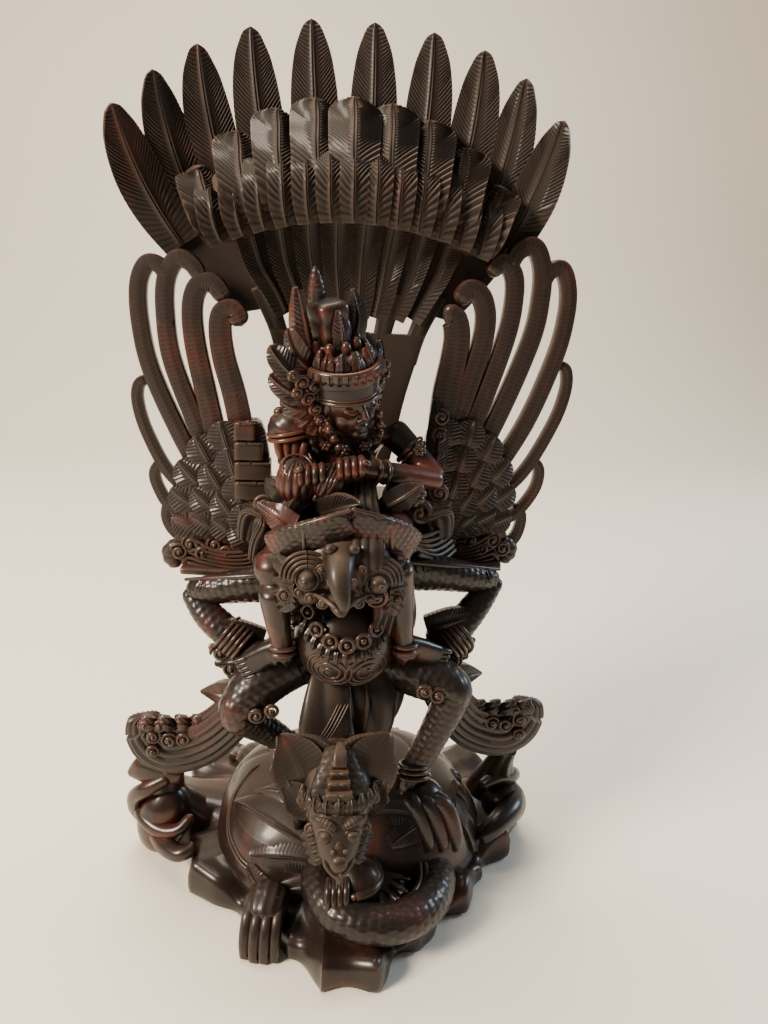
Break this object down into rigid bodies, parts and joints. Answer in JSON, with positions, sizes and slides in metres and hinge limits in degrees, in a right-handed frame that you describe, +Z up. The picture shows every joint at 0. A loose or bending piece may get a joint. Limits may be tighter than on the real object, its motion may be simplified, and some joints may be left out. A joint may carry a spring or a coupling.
{
  "type": "vishnu on garuda statue",
  "caption": "Carved dark wood statue of a crowned rider on a bird-headed mount with slotted wings and a fan tail, over a crowned serpent and a turtle on a rock.",
  "frame": {"origin": "on the flat underside, below the middle of the figures", "axes": "+Z up, -Y the front that the figures face, +X the viewer's right"},
  "size_m": [0.2741, 0.236, 0.5034],
  "materials": {
    "dark_polished_wood": "polished, near black with reddish brown patches and dust in the recesses",
    "dark_reddish_wood": "polished, dark reddish brown",
    "dark_brown_wood": "satin, dark brown, dusty on top"
  },
  "bodies": {
    "root": {"figures_on_base": "dark_polished_wood", "left_wing": "dark_reddish_wood", "right_wing": "dark_reddish_wood", "tail_fan": "dark_brown_wood"}
  },
  "joints": []
}
